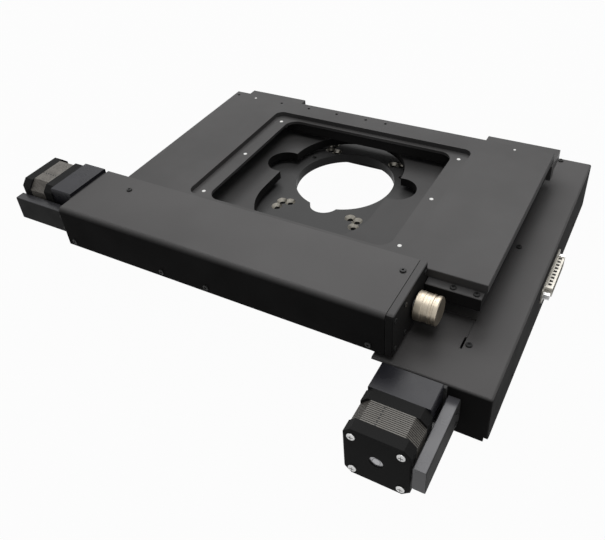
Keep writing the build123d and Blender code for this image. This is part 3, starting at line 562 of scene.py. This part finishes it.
# %% The lamination tree
def lamination_tree():
    tree = bpy.data.node_groups.new("lamination stack", "GeometryNodeTree")
    face = tree.interface
    inputs = {}
    for label, kind, value in (("Side", "NodeSocketFloat", 0.0423), ("Corner cut", "NodeSocketFloat", 0.006),
                               ("Pitch", "NodeSocketFloat", 0.0008), ("Plate", "NodeSocketFloat", 0.0006),
                               ("Count", "NodeSocketInt", 18)):
        made = face.new_socket(label, in_out="INPUT", socket_type=kind)
        made.default_value = value
        inputs[label] = made.identifier
    metal = face.new_socket("Material", in_out="INPUT", socket_type="NodeSocketMaterial")
    inputs["Material"] = metal.identifier
    face.new_socket("Geometry", in_out="OUTPUT", socket_type="NodeSocketGeometry")
    add, link = tree.nodes.new, tree.links.new
    given, out = add("NodeGroupInput"), add("NodeGroupOutput")
    square = add("GeometryNodeCurvePrimitiveQuadrilateral")
    link(given.outputs["Side"], square.inputs["Width"])
    link(given.outputs["Side"], square.inputs["Height"])
    cut = add("GeometryNodeFilletCurve")
    cut.mode = "POLY"
    cut.inputs["Count"].default_value = 1
    link(square.outputs["Curve"], cut.inputs["Curve"])
    link(given.outputs["Corner cut"], cut.inputs["Radius"])
    fill = add("GeometryNodeFillCurve")
    fill.mode = "NGONS"
    link(cut.outputs["Curve"], fill.inputs["Curve"])
    solid = add("GeometryNodeExtrudeMesh")
    solid.inputs["Individual"].default_value = False
    link(fill.outputs["Mesh"], solid.inputs["Mesh"])
    link(given.outputs["Plate"], solid.inputs["Offset Scale"])
    flipped = add("GeometryNodeFlipFaces")
    link(fill.outputs["Mesh"], flipped.inputs["Mesh"])
    closed = add("GeometryNodeJoinGeometry")
    link(solid.outputs["Mesh"], closed.inputs["Geometry"])
    link(flipped.outputs["Mesh"], closed.inputs["Geometry"])
    welded = add("GeometryNodeMergeByDistance")
    welded.inputs["Distance"].default_value = 0.00001
    link(closed.outputs["Geometry"], welded.inputs["Geometry"])
    step = add("ShaderNodeCombineXYZ")
    link(given.outputs["Pitch"], step.inputs["Z"])
    row = add("GeometryNodeMeshLine")
    link(given.outputs["Count"], row.inputs["Count"])
    link(step.outputs["Vector"], row.inputs["Offset"])
    copies = add("GeometryNodeInstanceOnPoints")
    link(row.outputs["Mesh"], copies.inputs["Points"])
    link(welded.outputs["Geometry"], copies.inputs["Instance"])
    real = add("GeometryNodeRealizeInstances")
    link(copies.outputs["Instances"], real.inputs["Geometry"])
    paint = add("GeometryNodeSetMaterial")
    link(real.outputs["Geometry"], paint.inputs["Geometry"])
    link(given.outputs["Material"], paint.inputs["Material"])
    link(paint.outputs["Geometry"], out.inputs["Geometry"])
    return tree, inputs


def grown(name, tree, inputs, values):
    """Run a tree on an empty mesh and keep its result as a plain mesh object."""
    seed = bpy.data.objects.new(name + " seed", bpy.data.meshes.new(name + " seed"))
    bpy.context.scene.collection.objects.link(seed)
    grow = seed.modifiers.new("grow", "NODES")
    grow.node_group = tree
    for label, value in values.items():
        grow[inputs[label]] = value
    graph = bpy.context.evaluated_depsgraph_get()
    mesh = bpy.data.meshes.new_from_object(seed.evaluated_get(graph))
    bpy.data.objects.remove(seed)
    made = bpy.data.objects.new(name, mesh)
    bpy.context.scene.collection.objects.link(made)
    return made


laminations, lamination_inputs = lamination_tree()

# %% Two stacks, each in its motor's place
PLATE_PITCH = 1.25 * MM     # the least pitch; the plates are then spread to fill the stack
PLATE_THICK = 0.85 * MM
PLATE_INSET = 0.1 * MM      # off the side, so that the stack stays inside its solid
PLATE_CUT = 7.0 * MM
MOTOR_AXES = (("y", Vector((0, 1, 0))), ("x", Vector((1, 0, 0))))


def standing_at(start, along):
    """The move that turns a stack's own +Z to its motor's axis and puts its end at a place."""
    turn = Vector((0, 0, 1)).rotation_difference(along).to_matrix().to_4x4()
    return Matrix.Translation(start) @ turn


for letter, along in MOTOR_AXES:
    low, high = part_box(f"{letter}_motor_laminations")
    span = (high - low).dot(along)
    count = int(span / PLATE_PITCH)
    pitch = (span - PLATE_THICK) / (count - 1)
    stack = grown(f"{letter}_lamination_stack", laminations, lamination_inputs,
                  {"Side": high.z - low.z - PLATE_INSET, "Corner cut": PLATE_CUT, "Pitch": pitch,
                   "Plate": PLATE_THICK, "Count": count, "Material": stack_steels[letter]})
    middle = (low + high) / 2
    start = middle - along * (span / 2)
    stack.data.transform(standing_at(start, along))
    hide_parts(f"{letter}_motor_laminations")
    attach(stack, "base" if letter == "y" else "y_carriage")
    print(stack.name, count, "plates,", len(stack.data.polygons), "faces")

# %% [markdown]
# Between the plates a dark core has to show, or light would pass through the stack; its near-black, seen in
# the gaps, is a painted shade for the seams. It is an octagonal prism a little smaller than the plates, with
# the shaft's bore left out because both ends are capped.


# %% The dark core of each stack
CORE_INSET = 1.0 * MM       # narrower than the plates' solid by this much
CORE_CUT = 6.8 * MM
CORE_END = 0.1 * MM
CORE_BREAK = 0.3 * MM       # the bevel on the core's long edges


def octagon_prism(name, side, cut, start, along, length, material):
    half = side / 2
    flat = half - cut
    corners = [(half, -flat), (half, flat), (flat, half), (-flat, half),
               (-half, flat), (-half, -flat), (-flat, -half), (flat, -half)]
    build = bmesh.new()
    lower = [build.verts.new((x, y, 0.0)) for x, y in corners]
    upper = [build.verts.new((x, y, length)) for x, y in corners]
    build.faces.new(reversed(lower))
    build.faces.new(upper)
    for i in range(8):
        j = (i + 1) % 8
        build.faces.new((lower[i], lower[j], upper[j], upper[i]))
    bmesh.ops.bevel(build, geom=[e for e in build.edges if abs(e.verts[0].co.z - e.verts[1].co.z) > 0],
                    offset=CORE_BREAK, segments=2, affect="EDGES", profile=0.5)
    mesh = bpy.data.meshes.new(name)
    build.to_mesh(mesh)
    build.free()
    mesh.transform(standing_at(start, along))
    mesh.materials.append(material)
    made = bpy.data.objects.new(name, mesh)
    bpy.context.scene.collection.objects.link(made)
    return made


for letter, along in MOTOR_AXES:
    low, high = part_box(f"{letter}_motor_laminations")
    span = (high - low).dot(along)
    start = (low + high) / 2 - along * (span / 2 - CORE_END)
    # the core's black, seen between the plates, is painted shade for the seams
    core = octagon_prism(f"{letter}_lamination_core", high.z - low.z - CORE_INSET, CORE_CUT, start, along,
                         span - 2 * CORE_END, rubber)
    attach(core, "base" if letter == "y" else "y_carriage")
print("cores in place")

# %% [markdown]
# ## The knob
#
# The hand knob is turned on a lathe: a wide drum at the screw's end, a long shallow waist, a collar, a
# narrow groove and a rim. A profile swept round the screw's axis is how the lathe makes it too, and each
# corner of the profile is broken by a small chamfer so that it catches a line of light.


# %% Turn the knob
KNOB_FACETS = 96
KNOB_SHARP = math.radians(12)


def turned_knob(name, node, steps, material):
    """Sweep a stepped profile, given as (share of length, share of radius), round the X axis."""
    low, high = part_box(node)
    radius, length = (high.z - low.z) / 2, high.x - low.x
    axis = Vector((low.x, (low.y + high.y) / 2, (low.z + high.z) / 2))
    profile = [(0.0, 0.0)]
    profile += [(x * length, r * radius) for x, r in steps]
    profile += [(length, 0.0)]
    around = KNOB_FACETS
    build = bmesh.new()
    rings = []
    for x, r in profile:
        if r == 0.0:
            rings.append([build.verts.new((x, 0, 0))])
            continue
        rings.append([build.verts.new((x, r * math.cos(2 * math.pi * k / around),
                                       r * math.sin(2 * math.pi * k / around))) for k in range(around)])
    for a, b in zip(rings, rings[1:]):
        for k in range(around):
            n = (k + 1) % around
            if len(a) == 1:
                build.faces.new((a[0], b[n], b[k]))
            elif len(b) == 1:
                build.faces.new((a[k], a[n], b[0]))
            else:
                build.faces.new((a[k], a[n], b[n], b[k]))
    bmesh.ops.recalc_face_normals(build, faces=build.faces)
    mesh = bpy.data.meshes.new(name)
    build.to_mesh(mesh)
    build.free()
    mesh.transform(Matrix.Translation(axis))
    for polygon in mesh.polygons:
        polygon.use_smooth = True
    mesh.set_sharp_from_angle(angle=KNOB_SHARP)
    mesh.materials.append(material)
    made = bpy.data.objects.new(name, mesh)
    bpy.context.scene.collection.objects.link(made)
    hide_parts(node)
    return made


knob_steps = ((0.0, 0.94), (0.02, 0.985), (0.035, 1.0), (0.325, 1.0), (0.335, 0.99), (0.338, 0.972),
              (0.445, 0.968), (0.45, 0.955), (0.595, 0.95), (0.6, 0.975), (0.61, 0.985), (0.705, 0.985),
              (0.715, 0.975), (0.72, 0.925), (0.8, 0.925), (0.805, 0.975), (0.815, 0.985), (0.955, 0.985),
              (0.985, 0.95), (1.0, 0.90))
knob = turned_knob("x_hand_knob", "x_knob", knob_steps, knob_metal)
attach(knob, "x_screw")
print("knob faces:", len(knob.data.polygons))

# %% [markdown]
# ## Floor, light and background
#
# The portrait is on white. A ray that comes straight from the camera, from a reflection or through glass
# sees a floor that is nearly all white, with a faint trace of the object's shadow, and pure white beyond
# it. Every other ray meets a grey floor and a dim sky, so that little light comes back up onto the black
# uprights. Three large soft lamps stand for the studio: one high at the back left, which lays a long sheen
# over the flat tops, one overhead, and a weak fill at the front right.


# %% Floor
FLOOR_TONE = (0.16, 0.16, 0.16, 1.0)
FLOOR_SIZE = 6.0            # from the middle to an edge, in metres
FLOOR_DROP = 0.5 * MM
WHITE_SHARE = 0.97          # how much of the white a camera ray sees; the rest is the shaded grey


def paper_floor(low, size):
    mesh = bpy.data.meshes.new("floor")
    mesh.from_pydata([(-size, -size, low), (size, -size, low), (size, size, low), (-size, size, low)], [],
                     [(0, 1, 2, 3)])
    floor = bpy.data.objects.new("floor", mesh)
    bpy.context.scene.collection.objects.link(floor)
    paper = Finish("white paper", roughness=0.9)
    paper.shader.inputs["Base Color"].default_value = FLOOR_TONE
    grain = paper.noise(300.0, 2.0)
    paper.feed(Roughness=paper.spread(grain, 0.0, 1.0, 0.85, 0.95))
    rays = paper.tree.nodes.new("ShaderNodeLightPath")
    seen = [Term(paper, rays.outputs[label])
            for label in ("Is Camera Ray", "Is Glossy Ray", "Is Transmission Ray")]
    share = seen[0].math("MAXIMUM", seen[1]).math("MAXIMUM", seen[2]) * WHITE_SHARE
    white = paper.tree.nodes.new("ShaderNodeEmission")
    white.inputs["Strength"].default_value = 1.0
    both = paper.tree.nodes.new("ShaderNodeMixShader")
    paper.tree.links.new(share.socket, both.inputs["Fac"])
    paper.tree.links.new(paper.shader.outputs[0], both.inputs[1])
    paper.tree.links.new(white.outputs[0], both.inputs[2])
    paper.tree.links.new(both.outputs[0], paper.tree.nodes["Material Output"].inputs["Surface"])
    mesh.materials.append(paper.material)
    return floor


floor = paper_floor(cad_box[0].z - FLOOR_DROP, FLOOR_SIZE)
print("floor at", round(cad_box[0].z / MM, 1), "mm")

# %% World
WHITE = (1.0, 1.0, 1.0, 1.0)
SKY_STRENGTH = 0.16
world = bpy.data.worlds.new("studio")
bpy.context.scene.world = world
world.use_nodes = True
sky = world.node_tree
backdrop = sky.nodes["Background"]
backdrop.inputs["Color"].default_value = WHITE
backdrop.inputs["Strength"].default_value = SKY_STRENGTH
bright = sky.nodes.new("ShaderNodeBackground")
bright.inputs["Color"].default_value = WHITE
bright.inputs["Strength"].default_value = 1.0
rays = sky.nodes.new("ShaderNodeLightPath")
either = sky.nodes.new("ShaderNodeMath")
either.operation = "MAXIMUM"
any_ray = sky.nodes.new("ShaderNodeMath")
any_ray.operation = "MAXIMUM"
sky.links.new(rays.outputs["Is Camera Ray"], either.inputs[0])
sky.links.new(rays.outputs["Is Glossy Ray"], either.inputs[1])
sky.links.new(either.outputs[0], any_ray.inputs[0])
sky.links.new(rays.outputs["Is Transmission Ray"], any_ray.inputs[1])
choose = sky.nodes.new("ShaderNodeMixShader")
sky.links.new(any_ray.outputs[0], choose.inputs["Fac"])
sky.links.new(backdrop.outputs[0], choose.inputs[1])
sky.links.new(bright.outputs[0], choose.inputs[2])
sky.links.new(choose.outputs[0], sky.nodes["World Output"].inputs["Surface"])
print("world:", world.name)


# %% Lamps
AIM = (0.0, 0.0, 0.0)
LAMPS = (                   # name, place and size in metres, watts
    ("back_panel", (-0.45, 0.95, 1.35), (1.5, 1.1), 19.0),
    ("top_panel", (0.2, -0.1, 1.6), (1.0, 1.0), 9.5),
    ("fill_panel", (1.1, -1.2, 0.7), (0.8, 0.8), 0.5),
)


def soft_lamp(name, place, aim, size, watts):
    data = bpy.data.lights.new(name, "AREA")
    data.shape = "RECTANGLE"
    data.size, data.size_y = size
    data.energy = watts
    lamp = bpy.data.objects.new(name, data)
    bpy.context.scene.collection.objects.link(lamp)
    lamp.location = place
    lamp.rotation_mode = "QUATERNION"
    lamp.rotation_quaternion = (Vector(aim) - Vector(place)).to_track_quat("-Z", "Y")
    return lamp


for name, place, size, watts in LAMPS:
    soft_lamp(name, place, AIM, size, watts)
print("lamps:", len(LAMPS))

# %% [markdown]
# ## Camera
#
# The camera stands at the front right and above, close enough for strong perspective. Its place, aim and
# lens come from a fit of the object's known corners to the portrait's frame. The frame is a little below
# the lens axis, which a small vertical shift gives.

# %% Camera
PORTRAIT_W, PORTRAIT_H = 605, 540
AZIMUTH, ELEVATION, ROLL = 32.55, 37.99, -5.23
FOCAL_PX = 684.09
CAMERA_AT = Vector((231.02, -437.78, 338.01)) * MM
AXIS_ROW = 235.0
azimuth, elevation, roll = (math.radians(v) for v in (AZIMUTH, ELEVATION, ROLL))
back = Vector((math.sin(azimuth) * math.cos(elevation), -math.cos(azimuth) * math.cos(elevation),
               math.sin(elevation)))
level = Vector((math.cos(azimuth), math.sin(azimuth), 0.0))
upright = back.cross(level)
right = level * math.cos(roll) + upright * math.sin(roll)
up = upright * math.cos(roll) - level * math.sin(roll)
lens = bpy.data.cameras.new("portrait")
lens.sensor_width = 36.0
lens.lens = FOCAL_PX * lens.sensor_width / PORTRAIT_W
lens.shift_y = -(PORTRAIT_H / 2 - AXIS_ROW) / PORTRAIT_W
lens.clip_start, lens.clip_end = 0.01, 20.0
camera = bpy.data.objects.new("portrait", lens)
bpy.context.scene.collection.objects.link(camera)
aim = Matrix((right, up, back)).transposed().to_4x4()
camera.matrix_world = Matrix.Translation(CAMERA_AT) @ aim
bpy.context.scene.camera = camera
bpy.context.scene.view_settings.view_transform = "Standard"
print("lens", round(lens.lens, 1), "mm")

# %% Print the frame's box
print("cad box", [round(v, 4) for c in cad_box for v in c])
